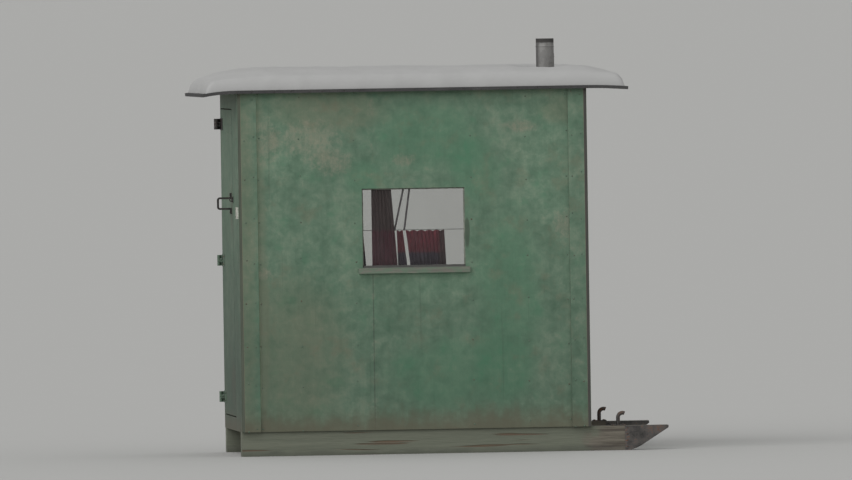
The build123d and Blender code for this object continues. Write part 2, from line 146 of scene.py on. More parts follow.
class Graph:
    # A node tree being written
    kinds = ("ShaderNode", "GeometryNode", "FunctionNode", "Node")

    def __init__(self, tree):
        self.tree = tree

    def node(self, kind, values=(), output=0, **settings):
        # Makes a node, sets it up, then gives its inputs their values or links
        full = next(start + kind for start in self.kinds if hasattr(bpy.types, start + kind))
        made = self.tree.nodes.new(full)
        for key, value in settings.items():
            if key == "stops":
                self.setStops(made.color_ramp, value)
            else:
                setattr(made, key, value)
        pairs = values.items() if isinstance(values, dict) else enumerate(values)
        for key, value in pairs:
            self.plug(self.find(made.inputs, key), value)
        if not len(made.outputs):
            return made
        return Wire(self, self.find(made.outputs, output))

    def find(self, sockets, key):
        if isinstance(key, int):
            return sockets[key]
        return next(socket for socket in sockets if key in (socket.identifier, socket.name))

    def plug(self, socket, value):
        if isinstance(value, Wire):
            self.tree.links.new(value.socket, socket)
        elif isinstance(value, tuple) and socket.type == "RGBA":
            socket.default_value = shown(value)
        else:
            socket.default_value = value

    def setStops(self, ramp, stops):
        while len(ramp.elements) < len(stops):
            ramp.elements.new(1.0)
        for element, (place, colour) in zip(ramp.elements, stops):
            element.position = place
            element.color = shown(colour)


class Finish(Graph):
    # One material; its patterns are set out in metres in the frame's own axes
    def __init__(self, name):
        self.material = bpy.data.materials.new(name)
        self.material.use_nodes = True
        super().__init__(self.material.node_tree)
        self.tree.nodes.clear()
        self.place = self.node("TexCoord", output="Object")
        self.uv = self.node("TexCoord", output="UV")
        self.x, self.y, self.z = self.split(self.place)

    def split(self, vector):
        made = self.node("SeparateXYZ", (vector,)).socket.node
        return [Wire(self, socket) for socket in made.outputs]

    def scaled(self, vector, by):
        return self.node("VectorMath", (vector, by), operation="MULTIPLY")

    def shifted(self, vector, by):
        return self.node("VectorMath", (vector, by), operation="ADD")

    def noise(self, vector, scale, detail=3.0, roughness=0.5, twist=0.0):
        shape = {"Scale": scale, "Detail": detail, "Roughness": roughness, "Distortion": twist}
        return self.node("TexNoise", {"Vector": vector, **shape})

    def speckle(self, vector, scale, output="Distance"):
        return self.node("TexVoronoi", {"Vector": vector, "Scale": scale}, output=output)

    def smooth(self, value, start, end):
        # 0 before start, 1 past end, also where end is the lower one
        ends = {"Value": value, "From Min": start, "From Max": end}
        return self.node("MapRange", ends, "Result", interpolation_type="SMOOTHSTEP")

    def ramp(self, value, places, colours):
        return self.node("ValToRGB", (value,), "Color", stops=list(zip(places, colours)))

    def mix(self, amount, first, second, how="MIX"):
        values = {"Factor_Float": amount, "A_Color": first, "B_Color": second}
        return self.node("Mix", values, "Result_Color", data_type="RGBA", blend_type=how)

    def coats(self, colour, *layers):
        for amount, tint in layers:
            colour = self.mix(amount, colour, tint)
        return colour

    def shaded(self, colour, amount):
        # Makes a colour darker or lighter by a plain factor
        grey = self.node("CombineXYZ", (amount, amount, amount))
        return self.mix(1.0, colour, grey, "MULTIPLY")

    def blot(self, across, up, spot):
        # A soft ellipse on a wall, 1 in its middle
        x, z, wide, tall = spot
        dx = (across - x) * (1 / wide)
        dz = (up - z) * (1 / tall)
        return self.smooth(dx * dx + dz * dz, 1.0, 0.0)

    def principled(self, colour, roughness, height=None, relief=0.001, **constants):
        values = {"Base Color": colour, "Roughness": roughness}
        values.update({key.replace("_", " "): value for key, value in constants.items()})
        if height is not None:
            bumps = {"Height": height, "Strength": 1.0, "Distance": relief}
            values["Normal"] = self.node("Bump", bumps)
        return self.node("BsdfPrincipled", values)

    def close(self, shader):
        self.node("OutputMaterial", (shader,))
        return self.material


# Old green paint on plywood

paint = {
    "tones": ((66, 94, 74), (84, 109, 89), (106, 124, 104)), "green": (84, 109, 89),
    "fresh": (62, 110, 82), "olive": (98, 102, 82), "grime": (84, 78, 62),
    "crack": (46, 54, 44), "worn": ((104, 105, 89), (124, 122, 106)),
    "inside": ((134, 112, 84), (160, 138, 108)), "edge": ((48, 48, 45), (72, 70, 64)),
    "paintedEdge": ((60, 66, 55), (84, 90, 76)), "dirtHeight": 0.15, "eavesGrimeAndShadeHeight": 0.11,
    "seamWidth": 0.0045, "seamTop": 1.06, "roughness": 0.66, "relief": 0.0012,
}

# Painted light: the paint is paler where the board, the eaves and the sill cast their shadow
paintedLight = {"board": 0.50, "boardReach": (0.013, 0.003), "eaves": 0.16, "eavesReach": (0.08, 0.03),
         "sill": 0.30, "sillHeight": 0.032, "sillPast": 0.025}

# Soft ellipses of each kind: their middle's place across and up, then half their width and height
frontPatches = {
    "worn": [(-0.72, 1.80, 0.26, 0.15), (-0.58, 1.66, 0.18, 0.10), (-0.96, 1.80, 0.10, 0.18),
             (-0.17, 1.68, 0.10, 0.05), (0.76, 1.30, 0.12, 0.11), (-0.99, 1.04, 0.07, 0.05),
             (0.50, 1.86, 0.16, 0.05)],
    "olive": [(-1.02, 1.10, 0.08, 1.40), (-0.80, 0.60, 0.42, 0.60), (-0.60, 1.96, 0.50, 0.16),
              (0.78, 1.95, 0.26, 0.12), (0.84, 1.20, 0.07, 0.50)],
    "fresh": [(0.42, 0.85, 0.26, 0.75), (-0.05, 1.82, 0.42, 0.28), (0.24, 1.60, 0.20, 0.26),
              (-0.40, 1.58, 0.16, 0.16), (0.10, 0.45, 0.55, 0.30)],
    # The third bright patch, under the window, is painted light where the sill's shadow falls
    "bright": [(-0.86, 1.76, 0.36, 0.26), (0.66, 1.62, 0.26, 0.44), (0.04, 1.00, 0.36, 0.16)],
    "dark": [(frontWindow["right"] + 0.012, 1.257, 0.024, 0.14)],
}
backPatches = {
    "worn": [(0.40, 1.72, 0.30, 0.14), (-0.86, 0.62, 0.22, 0.12), (0.62, 0.98, 0.14, 0.16)],
    "olive": [(0.80, 0.80, 0.20, 1.10), (-0.50, 0.50, 0.60, 0.30)],
    "fresh": [(-0.70, 1.50, 0.40, 0.50), (0.10, 0.75, 0.30, 0.30)],
    "bright": [(0.30, 1.75, 0.50, 0.24), (-0.90, 1.10, 0.20, 0.50)],
}
nosePatches = {
    "worn": [(-0.30, 1.60, 0.20, 0.22), (0.34, 0.85, 0.18, 0.20)],
    "olive": [(0.40, 1.30, 0.24, 0.70), (-0.20, 0.45, 0.40, 0.22)],
    "fresh": [(-0.25, 1.05, 0.34, 0.36), (0.20, 1.80, 0.30, 0.20)],
    "bright": [(-0.10, 1.70, 0.50, 0.22)],
}

# dimming is the height under which a wall grows darker, and how much
# shade lightens or darkens a wall's paint as a whole: painted light on the back and the nose end, which face
# away from the lamp, and painted shade on the door end and the door
plainWall = {
    "thickness": "y", "seams": [], "boards": [], "sills": [], "edge": "paintedEdge", "patches": {},
    "drift": (0.0, 0.0, 0.0), "wear": 0.0, "shade": 1.0, "dimming": (1.4, 0.20),
}
walls = {
    "front": {"outside": frontLow.y, "inside": frontHigh.y, "seams": [hut["seam"]], "boards": boardEdges[:1],
              "sills": [frontWindow], "wear": -0.04, "patches": frontPatches},
    "back": {"outside": backHigh.y, "inside": backLow.y, "seams": [hut["seam"]], "sills": [backWindow],
             "drift": (3.7, 1.9, 5.1), "shade": 1.08, "dimming": (1.4, 0.18), "patches": backPatches},
    "corner": {"thickness": "mirroredY", "outside": hut["back"], "inside": backHigh.y, "wear": 0.04,
               "drift": (8.2, 0.0, 2.4), "shade": 0.98, "patches": {"olive": [(-1.11, 1.1, 0.12, 1.8)]}},
    "doorEnd": {"thickness": "x", "outside": hut["left"], "inside": besideHigh.x, "drift": (1.3, 6.2, 3.3),
                "shade": 0.86, "dimming": (1.9, 0.50)},
    "door": {"thickness": "x", "outside": doorLow.x, "inside": doorHigh.x, "seams": [doorLow.y, doorHigh.y],
             "edge": "edge", "drift": (1.3, 11.7, 8.3), "wear": 0.02, "shade": 0.86, "dimming": (1.9, 0.50),
             "patches": {"dirty": [(-0.12, 1.40, 0.13, 0.22), (-0.12, 0.40, 0.30, 0.22)]}},
    "noseEnd": {"thickness": "x", "outside": hut["right"], "inside": rightLow.x, "edge": "edge",
                "drift": (5.9, 2.2, 7.6), "wear": 0.02, "shade": 1.06, "dimming": (1.4, 0.18),
                "patches": nosePatches},
}


def greenPaint(f, across, wall):
    # Gives the paint's colour, with painted light and shade in it, and its roughness and height
    place = f.shifted(f.place, wall["drift"])
    broad = f.noise(place, 1.5, 2) - 0.5
    cloud = f.noise(place, 5.2, 4, 0.6) - 0.5
    mottle = f.noise(place, 19, 4, 0.62, 0.3) - 0.5
    warmth = f.noise(f.shifted(place, (2.6, 0.9, 4.2)), 8.5, 4, 0.62) - 0.5
    flake = f.noise(f.scaled(place, (1, 1, 0.8)), 56, 4, 0.7) - 0.5
    streak = f.noise(f.scaled(place, (1, 1, 0.07)), 16, 3, 0.6) - 0.5
    grain = f.noise(f.scaled(place, (1, 1, 0.03)), 170, 3, 0.65) - 0.5

    def spots(kind):
        mask = cloud * 0.9 + mottle * 0.7
        for spot in wall["patches"].get(kind, []):
            mask = mask + f.blot(across, f.z, spot) * 0.9
        return mask

    tone = broad * 0.4 + cloud * 0.7 + mottle * 0.9 + streak * 0.2 + 0.5
    fresh = f.smooth(spots("fresh"), 0.10, 1.25) * 0.55 + f.smooth(warmth, -0.02, -0.26) * 0.40
    olive = f.smooth(spots("olive"), 0.10, 1.25) * 0.60 + f.smooth(warmth, 0.02, 0.26) * 0.45
    wearing = spots("worn") * 0.60 + flake * 1.0 + mottle * 0.5 + grain * 0.15 + wall["wear"]
    thin = f.smooth(wearing, 0.10, 0.60)
    bare = f.smooth(wearing, 0.50, 0.75)
    wood = f.mix(f.smooth(grain * 0.4 + flake, -0.2, 0.25), *paint["worn"])
    dirty = f.smooth(spots("dirty"), 0.10, 1.25) * 0.45
    dark = f.smooth(spots("dark"), 0.45, 0.80) * 0.65
    colour = f.coats(f.ramp(tone, (0.20, 0.5, 0.82), paint["tones"]), (fresh, paint["fresh"]),
                     (olive, paint["olive"]), (thin * 0.42 + bare * 0.22, wood), (dirty, paint["grime"]),
                     (dark, paint["crack"]))

    lightness = f.smooth(spots("bright"), 0.0, 1.2) * 0.12 + grain * 0.10 + flake * 0.13 + streak * 0.10
    # Painted light in the shadow beside the board
    for board in wall["boards"]:
        lightness = lightness + f.smooth(abs(across - board), *paintedLight["boardReach"]) * paintedLight["board"]
    # Painted light in the shadow under the eaves
    if wall["thickness"] == "y":
        start, end = [hut["top"] - reach for reach in paintedLight["eavesReach"]]
        lightness = lightness + f.smooth(f.z + cloud * 0.03, start, end) * paintedLight["eaves"]
    # Painted light in the shadow under the sill
    for window in wall["sills"]:
        low = window["bottom"] - paintedLight["sillHeight"]
        left = window["left"] - paintedLight["sillPast"]
        right = window["right"] + paintedLight["sillPast"]
        under = f.smooth(f.z, low - 0.026, low - 0.006) * f.smooth(f.z, low + 0.006, low)
        under = under * f.smooth(across, left - 0.01, left) * f.smooth(across, right + 0.01, right)
        lightness = lightness + under * paintedLight["sill"]
    dim = f.smooth(f.z, wall["dimming"][0], 0.15) * wall["dimming"][1]
    colour = f.shaded(colour, lightness + 1.0 - dim)

    speck = f.noise(f.scaled(place, (1, 1, 0.6)), 130, 3, 0.7) + mottle * 0.2 + flake * 0.1
    chip = f.smooth(speck, 0.735, 0.75)
    crack = f.smooth(f.noise(f.scaled(place, (1, 1, 0.012)), 62, 2, 0.4), 0.70, 0.73)
    colour = f.coats(colour, (chip * 0.5, paint["worn"][0]), (crack * 0.14, paint["crack"]))
    for seam in wall["seams"]:
        away = abs(across - seam)
        rubbed = f.smooth(away, 0.030, 0.0) * f.smooth(mottle + flake * 0.7, -0.05, 0.25)
        near = f.smooth(away, paint["seamWidth"], 0.001)
        if wall["thickness"] == "y":
            near = near * f.smooth(f.z, paint["seamTop"] + 0.5, paint["seamTop"])
        colour = f.coats(colour, (rubbed * 0.35, wood), (near * (0.55 - mottle * 1.2), paint["crack"]))

    run = f.z + streak * 0.12
    # Under the eaves the paint darkens with grime and with painted shade from the roof's overhang
    eavesGrimeAndShade = f.smooth(run + cloud * 0.05, hut["top"] - paint["eavesGrimeAndShadeHeight"], hut["top"])
    splash = f.smooth(run + cloud * 0.14 + mottle * 0.10, hut["low"] + paint["dirtHeight"], hut["low"])
    colour = f.coats(colour, (eavesGrimeAndShade * 0.16, paint["crack"]), (splash * 0.75, paint["grime"]))

    rough = bare * 0.20 + flake * 0.15 + paint["roughness"]
    height = (1.0 - bare) * 0.35 + grain * 0.3 + flake * 0.35 - crack * 0.4 - chip * 0.3
    # The wall's shade factor: painted light above 1, painted shade below 1
    return f.shaded(colour, wall["shade"]), rough, height


def barePly(f, drift):
    # Unpainted plywood with upright grain, for the faces that look inwards
    place = f.shifted(f.place, drift)
    figure = f.noise(f.scaled(place, (1, 1, 0.12)), 9, 4, 0.6, 1.2)
    grain = f.noise(f.scaled(place, (1, 1, 0.02)), 170, 3, 0.6)
    colour = f.ramp(figure * 0.7 + grain * 0.3, (0.3, 0.7), paint["inside"])
    damp = f.noise(place, 3.2, 4, 0.6)
    low = f.smooth(f.z + (damp - 0.5) * 0.6, 0.75, 0.20)
    colour = f.mix(f.smooth(damp, 0.50, 0.72) * 0.35 + low * 0.35, colour, paint["grime"])
    return f.shaded(colour, 0.75 + grain * 0.5), grain * 0.2 + 0.6, grain * 0.6


def paintedSheet(name, wallName):
    # Paint on the outer face, layers on the cut edges and bare wood inside
    f = Finish(name)
    wall = {**plainWall, **walls[wallName]}
    through = {"x": f.x, "y": f.y, "mirroredY": abs(f.y)}[wall["thickness"]]
    across = f.y if wall["thickness"] == "x" else f.x
    depth = (through - wall["outside"]) * (1 / (wall["inside"] - wall["outside"]))
    colour, rough, height = greenPaint(f, across, wall)
    layer = (depth * 5 * pi).wave()
    fibre = f.noise(f.scaled(f.place, (1, 1, 0.1)), 60, 3)
    edgeColour = f.mix(f.smooth(layer * 0.5 + fibre, 0.2, 1.0), *paint[wall["edge"]])
    insideColour, insideRough, insideHeight = barePly(f, wall["drift"])
    onEdge = f.smooth(depth, 0.04, 0.07)
    onInside = f.smooth(depth, 0.97, 0.985)
    colour = f.coats(colour, (onEdge, edgeColour), (onInside, insideColour))
    rough = rough * (1.0 - onInside) + insideRough * onInside
    height = height * (1.0 - onEdge) + (layer * 0.3 + fibre) * (onEdge - onInside) + insideHeight * onInside
    return f.close(f.principled(colour, rough, height, paint["relief"]))


# Timber, the darker colour of each pair first

timber = {
    "sawn": ((124, 98, 70), (162, 138, 106)), "runner": ((68, 62, 54), (106, 101, 90)),
    "floor": ((126, 104, 78), (158, 134, 104)), "sill": ((92, 92, 84), (112, 112, 102)),
    "knot": (84, 58, 40), "scuff": (84, 76, 66), "runnerGreen": (94, 100, 86),
    "relief": 0.0008, "floorRelief": 0.0006, "sillRelief": 0.001, "runnerRelief": 0.004,
}


def grainFigure(f, along):
    # Stretched along the piece: 0 is x, 1 is y and 2 is z
    squeeze = [1.0, 1.0, 1.0]
    squeeze[along] = 0.05
    place = f.scaled(f.place, tuple(squeeze))
    rings = f.noise(place, 38, 4, 0.55, 0.6)
    fibre = f.noise(place, 260, 2, 0.6)
    return rings, fibre


def sawnTimber(name, along, cell):
    # cell is how far apart the pieces lie, so that each gets its own shade
    f = Finish(name)
    rings, fibre = grainFigure(f, along)
    step = f.node("VectorMath", (f.place, cell), operation="SNAP")
    own = f.node("TexWhiteNoise", {"Vector": step}, output="Value")
    knots = f.smooth(f.speckle(f.place, 2.6), 0.075, 0.03)
    # The timber that shows in the gaps round the door is painted dark, as painted shadow
    behindDoor = f.smooth(f.x, besideHigh.x + 0.004, besideHigh.x + 0.001)
    colour = f.coats(f.ramp(rings, (0.36, 0.55), timber["sawn"]), (knots * 0.8, timber["knot"]),
                     (behindDoor * 0.9, paint["crack"]))
    colour = f.shaded(colour, 0.72 + own * 0.28 + fibre * 0.2)
    return f.close(f.principled(colour, 0.62 + fibre * 0.2, rings + fibre * 0.5, timber["relief"]))


def runnerTimber(name):
    # Wet, dirty and split, with what is left of green paint beside the walls
    f = Finish(name)
    rings, fibre = grainFigure(f, 0)
    broad = f.noise(f.place, 5.0, 4, 0.6)
    splitLine = f.smooth(f.noise(f.scaled(f.place, (0.03, 1, 1)), 48, 2, 0.4), 0.63, 0.68)
    colour = f.mix(f.smooth(rings + fibre * 0.3, 0.4, 0.85), *timber["runner"])
    green = f.smooth(broad + (f.x - hut["right"]) * -2.0, 0.35, 0.55) * 0.80
    colour = f.coats(colour, (green, timber["runnerGreen"]), (splitLine * 0.7, timber["knot"]))
    wet = f.smooth(f.z + broad * 0.06, 0.075, 0.03)
    colour = f.shaded(colour, (1.0 - wet * 0.35) * (0.85 + fibre * 0.3))
    height = rings * 0.5 + fibre * 0.3 - splitLine * 0.8
    return f.close(f.principled(colour, 0.78 - wet * 0.3, height, timber["runnerRelief"]))


def sheetFloor(name):
    # Trodden bare plywood
    f = Finish(name)
    rings, fibre = grainFigure(f, 0)
    scuff = f.noise(f.place, 6.0, 5, 0.7)
    colour = f.ramp(rings, (0.35, 0.6), timber["floor"])
    colour = f.mix(f.smooth(scuff, 0.45, 0.7) * 0.5, colour, timber["scuff"])
    return f.close(f.principled(colour, 0.55 + scuff * 0.3, fibre, timber["floorRelief"]))


def sillTimber(name):
    # Green as the walls, weathered here and there down to grey wood
    f = Finish(name)
    rings, fibre = grainFigure(f, 0)
    flake = f.noise(f.scaled(f.place, (0.4, 1, 1)), 34, 4, 0.7)
    colour = f.ramp(rings, (0.35, 0.62), timber["sill"])
    colour = f.mix(f.smooth(flake, 0.38, 0.60) * 0.70, colour, paint["green"])
    return f.close(f.principled(colour, 0.7 + fibre * 0.15, rings + fibre * 0.5, timber["sillRelief"]))


# Metal

metal = {
    "black": ((50, 49, 48), (82, 79, 77)), "rust": ((60, 44, 36), (92, 64, 48)),
    "zinc": ((118, 117, 115), (140, 139, 137)), "sootAndShade": (44, 42, 41),
    "wire": (120, 120, 118), "relief": 0.0006, "wireRelief": 0.0002,
    # Soot under the rim and down the pipe, and painted shade down the left side: where each is thin and
    # thick, and its strength
    "rim": (0.030, 0.018, 0.90), "paintedShadeSide": (-0.028, -0.048, 0.55), "sootRun": (0.05, 0.26, 0.22),
}


def blackIron(name, rustiness, overpaint=None, cover=0.8, shade=1.0, fading=1.0):
    # Wall paint went over the iron too, up to the height overpaint; cover is how much of it stayed
    f = Finish(name)
    cloud = f.noise(f.place, 14, 4, 0.65)
    fine = f.noise(f.place, 120, 3, 0.6)
    colour = f.mix(f.smooth(cloud + fine * 0.4, 0.45, 0.9), *metal["black"])
    rust = f.smooth(cloud * 0.7 + fine * 0.6, 0.80 - rustiness, 0.98 - rustiness)
    orange = f.mix(f.smooth(fine, 0.35, 0.65), *metal["rust"])
    colour = f.shaded(f.mix(rust, colour, orange), fading)
    rough = 0.48 + rust * 0.4
    shine = 0.6 - rust * 0.5
    if overpaint is not None:
        whole = f.smooth(fine + cloud * 0.5, 0.95, 0.75)
        painted = f.smooth(f.z, overpaint + 0.05, overpaint) * whole * cover
        colour = f.mix(painted, colour, paint["green"])
        shine = shine * (1.0 - painted)
        rough = rough + painted * 0.1
        colour = f.shaded(colour, painted * (1.0 - shade) + shade)
    return f.close(f.principled(colour, rough, fine * 0.6 + rust * 0.6, metal["relief"], Metallic=shine))


def flueSteel(name):
    # Dull zinc with soot round the rim and faintly all the way down, and painted shade down one side
    f = Finish(name)
    spangle = f.speckle(f.scaled(f.place, (1, 1, 0.7)), 70, "Color")
    tint = f.node("SeparateColor", (spangle,), output="Red")
    cloud = f.noise(f.place, 22, 4, 0.65)
    run = f.noise(f.scaled(f.place, (1, 1, 0.12)), 60, 3) - 0.5
    colour = f.mix(tint * 0.6 + cloud * 0.4, *metal["zinc"])
    top = hut["pipeTop"]
    rimLow, rimHigh, rimSoot = metal["rim"]
    rim = f.smooth(f.z + (cloud - 0.5) * 0.02, top - rimLow, top - rimHigh)
    # Painted shade down the left side of the pipe
    thin, thick, sideShade = metal["paintedShadeSide"]
    side = f.smooth(f.x - hut["pipe"].x + run * 0.02, thin, thick) * sideShade
    thin, thick, runSoot = metal["sootRun"]
    below = f.smooth(f.z + run * 0.10, top - thin, top - thick) * runSoot
    colour = f.coats(colour, (side.math("MAXIMUM", below), metal["sootAndShade"]), (rim * rimSoot, metal["sootAndShade"]))
    rough = 0.55 + cloud * 0.2 + rim * 0.3
    shine = 0.40 - rim * 0.35
    return f.close(f.principled(colour, rough, cloud * 0.5 + tint * 0.15, metal["relief"], Metallic=shine))


def dullWire(name):
    f = Finish(name)
    fine = f.noise(f.place, 90, 3, 0.6)
    colour = f.mix(f.smooth(fine, 0.5, 0.75), metal["wire"], metal["rust"][0])
    return f.close(f.principled(colour, 0.4 + fine * 0.2, fine, metal["wireRelief"], Metallic=0.8))


# Felt, glass, cloth, putty, plate and snow

glass = {"tint": [0.918, 0.922, 0.915, 1.0], "dust": (150, 152, 150), "film": 0.05, "mirror": 0.8,
         "gloss": [0.9, 0.9, 0.9, 1.0], "glossRoughness": 0.03, "ior": 1.45}
soft = {
    "felt": ((44, 44, 45), (78, 77, 76)), "snow": (153, 153, 152), "shadow": (52, 50, 50),
    "maroon": (112, 58, 68), "red": (152, 72, 84), "blue": (76, 67, 78), "brown": (76, 63, 63),
    "wine": (84, 48, 58), "tape": (112, 108, 110), "putty": ((82, 88, 78), (112, 116, 106)),
    "plate": ((150, 152, 142), (186, 187, 176)),
    "tallBorder": 1.278, "shortBorder": 1.150, "tapeBorder": 1.0, "darkEnd": 0.045,
    "relief": {"felt": 0.0012, "putty": 0.0008, "cloth": 0.0002, "plate": 0.0004, "snow": 0.004},
}


def mineralFelt(name):
    f = Finish(name)
    grit = f.noise(f.place, 420, 2, 0.7)
    cloud = f.noise(f.place, 7, 4, 0.6)
    colour = f.mix(f.smooth(grit + cloud * 0.4, 0.5, 1.0), *soft["felt"])
    lap = f.smooth(abs(f.y), 0.006, 0.0)
    return f.close(f.principled(colour, 0.9, grit + cloud * 2.0 + lap, soft["relief"]["felt"]))


def oldPutty(name):
    f = Finish(name)
    cloud = f.noise(f.place, 40, 4, 0.65)
    colour = f.mix(f.smooth(cloud, 0.35, 0.7), *soft["putty"])
    # Painted shadow on the bead along the bottom of the window
    foot = f.smooth(f.z + cloud * 0.006, frontWindow["bottom"] + 0.020, frontWindow["bottom"] + 0.014)
    colour = f.mix(foot * 0.85, colour, soft["shadow"])
    return f.close(f.principled(colour, 0.8, cloud, soft["relief"]["putty"]))


def windowGlass(name):
    # Each face takes a little of the light; a film of dust lies on the outer one alone
    f = Finish(name)
    smear = f.noise(f.scaled(f.place, (1, 1, 0.5)), 9, 4, 0.6)
    innerFace = abs(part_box("front_window_pane")[1].y)
    outer = f.smooth(abs(f.y), innerFace + 0.001, innerFace + 0.002)
    film = f.smooth(smear, 0.45, 0.85) * outer * glass["film"]
    clear = f.node("BsdfTransparent", {"Color": glass["tint"]})
    dusty = f.principled(glass["dust"], 0.5)
    gloss = f.node("BsdfAnisotropic", {"Color": glass["gloss"], "Roughness": glass["glossRoughness"]})
    mirror = f.node("Fresnel", {"IOR": glass["ior"]}) * outer * glass["mirror"]
    seen = f.node("MixShader", (film, clear, dusty))
    return f.close(f.node("MixShader", (mirror, seen, gloss)))


def curtainCloth(name, upper, lower, border, accent=None, darkFrom=None):
    # border is the height where the lower colour begins, darkFrom where the cloth turns dark along x
    f = Finish(name)
    across, down, _ = f.split(f.uv)
    weft = (down * 2600).wave()
    warp = (across * 2600).wave()
    mottle = f.noise(f.scaled(f.uv, (1, 0.4, 1)), 30, 4, 0.6)
    colour = f.mix(f.smooth(f.z + (mottle - 0.5) * 0.02, border + 0.012, border - 0.012), upper, lower)
    if accent is not None:
        spots = f.smooth(mottle, 0.5, 0.7) * f.smooth(f.z, border, border + 0.05)
        colour = f.mix(spots * 0.8, colour, accent)
    if darkFrom is not None:
        past = f.smooth(f.x + mottle * 0.01, darkFrom, darkFrom + 0.02)
        colour = f.mix(past * 0.8, colour, soft["brown"])
    hem = f.smooth(f.z, frontWindow["bottom"] + 0.07, frontWindow["bottom"])
    colour = f.shaded(colour, (0.8 + mottle * 0.4 + weft * 0.02) * (1.0 - hem * 0.25))
    height = weft * 0.3 + warp * 0.3 + mottle
    return f.close(f.principled(colour, 0.9, height, soft["relief"]["cloth"],
                                Sheen_Weight=0.25, Sheen_Roughness=0.5))


def palePlate(name):
    f = Finish(name)
    cloud = f.noise(f.place, 30, 4, 0.65)
    colour = f.mix(f.smooth(cloud, 0.35, 0.65), *soft["plate"])
    colour = f.mix(f.smooth(cloud, 0.64, 0.70), colour, metal["rust"][1])
    return f.close(f.principled(colour, 0.5 + cloud * 0.2, cloud, soft["relief"]["plate"]))


def packedSnow(name):
    f = Finish(name)
    drift = f.noise(f.place, 5, 4, 0.55)
    crystals = f.noise(f.place, 300, 2, 0.6)
    colour = f.shaded(soft["snow"], 0.94 + drift * 0.10 + (crystals - 0.5) * 0.06)
    return f.close(f.principled(colour, 0.75, drift * 2.0 + crystals * 0.2, soft["relief"]["snow"]))


# What the added pieces wear, and after it what the frame's own nodes wear

finishes = {
    "nail": blackIron("nail_iron", 0.16, hut["top"], cover=0.70),
    "feltNail": blackIron("felt_nail_iron", 0.04),
    "screw": blackIron("screw_iron", 0.22),
    "rivet": dullWire("rivet_metal"),
    "putty": oldPutty("old_putty"),
    "flue": flueSteel("flue_steel"),
    "snow": packedSnow("packed_snow"),
    "tape": curtainCloth("tape_cloth", soft["tape"], soft["tape"], soft["tapeBorder"]),
    "tallCloth": curtainCloth("tall_curtain_cloth", soft["brown"], soft["wine"], soft["tallBorder"]),
    "shortCloth": curtainCloth("short_curtain_cloth", soft["maroon"], soft["blue"], soft["shortBorder"],
                               soft["red"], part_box("short_curtain_right")[1].x - soft["darkEnd"]),
}
ironPaintTop = (doorLow.z + doorHigh.z) / 2 + 0.2
wearers = {
    "front_sheet_*": paintedSheet("front_paint", "front"),
    "back_sheet_*": paintedSheet("back_paint", "back"),
    "corner_boards": paintedSheet("corner_paint", "corner"),
    "left_sheet_* left_hinge_strip": paintedSheet("door_end_paint", "doorEnd"),
    "right_sheet": paintedSheet("nose_end_paint", "noseEnd"),
    "door_panel": paintedSheet("door_paint", "door"),
    "*_wall_studs": sawnTimber("upright_timber", 2, (0.12, 0.12, 9.0)),
    "front_wall_plates back_wall_plates *_window_framing floor_rims window_stops":
        sawnTimber("lengthways_timber", 0, (9.0, 0.2, 0.2)),
    "left_wall_plates right_wall_plates *_joists door_battens":
        sawnTimber("crossways_timber", 1, (0.15, 9.0, 9.0)),
    "*_runner": runnerTimber("runner_timber"),
    "floor_deck_* roof_deck": sheetFloor("floor_plywood"),
    "window_sills": sillTimber("sill_timber"),
    "nose_shoes": blackIron("shoe_steel", 0.10, fading=1.35),
    "tow_hooks": blackIron("hook_steel", 0.16),
    "*_hinge_leaves door_handle door_hasp jamb_staple":
        blackIron("door_iron", 0.06, ironPaintTop, shade=0.62),
    "flue_*": finishes["flue"],
    "curtain_rod curtain_wire": dullWire("dull_wire"),
    "roof_felt": mineralFelt("mineral_felt"),
    "*_window_pane": windowGlass("window_glass"),
    "number_plate": palePlate("pale_plate"),
}
for patterns, material in wearers.items():
    for name in nodes:
        if any(fnmatch(name, pattern) for pattern in patterns.split()):
            for materialSlot in nodes[name].material_slots:
                materialSlot.material = material
print("finishes made:", len(finishes), "for added pieces and", len(wearers), "for the frame's nodes")


# Meshes

def addPiece(name, vertices, faces, material, uvs=None, smooth=True):
    mesh = bpy.data.meshes.new(name)
    mesh.from_pydata([tuple(vertex) for vertex in vertices], [], faces)
    if uvs is not None:
        layer = mesh.uv_layers.new(name="cloth")
        for loop in mesh.loops:
            layer.data[loop.index].uv = uvs[loop.vertex_index]
    mesh.polygons.foreach_set("use_smooth", [smooth] * len(mesh.polygons))
    mesh.materials.append(material)
    mesh.validate()
    piece = bpy.data.objects.new(name, mesh)
    scene.collection.objects.link(piece)
    return piece


def trimPiece(name, vertices, faces, finish):
    # A small hard-edged piece, its faces turned outwards
    piece = addPiece(name, vertices, faces, finishes[finish], smooth=False)
    mesh = bmesh.new()
    mesh.from_mesh(piece.data)
    bmesh.ops.recalc_face_normals(mesh, faces=mesh.faces)
    mesh.to_mesh(piece.data)
    mesh.free()
    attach(piece, "hut")


def gridFaces(across, down):
    # Quads over a grid that is stored row by row
    wide = across + 1
    starts = [row * wide + column for row in range(down) for column in range(across)]
    return [(start, start + 1, start + wide + 1, start + wide) for start in starts]


def loft(loops):
    # Points and faces over closed loops of equal length, with both ends shut
    count = len(loops[0])
    points = [point for loop in loops for point in loop]
    faces = [tuple(range(count)), tuple(range(len(points) - count, len(points)))]
    for first in range(0, len(points) - count, count):
        for corner in range(count):
            after = (corner + 1) % count
            faces.append((first + corner, first + after, first + count + after, first + count + corner))
    return points, faces


def between(start, end, share):
    return start + (end - start) * share


def clamped(value):
    return min(1.0, max(0.0, value))


def bump(x, y, z):
    return noise.noise(Vector((x, y, z)))


# Heads of nails and screws, set out by Geometry Nodes

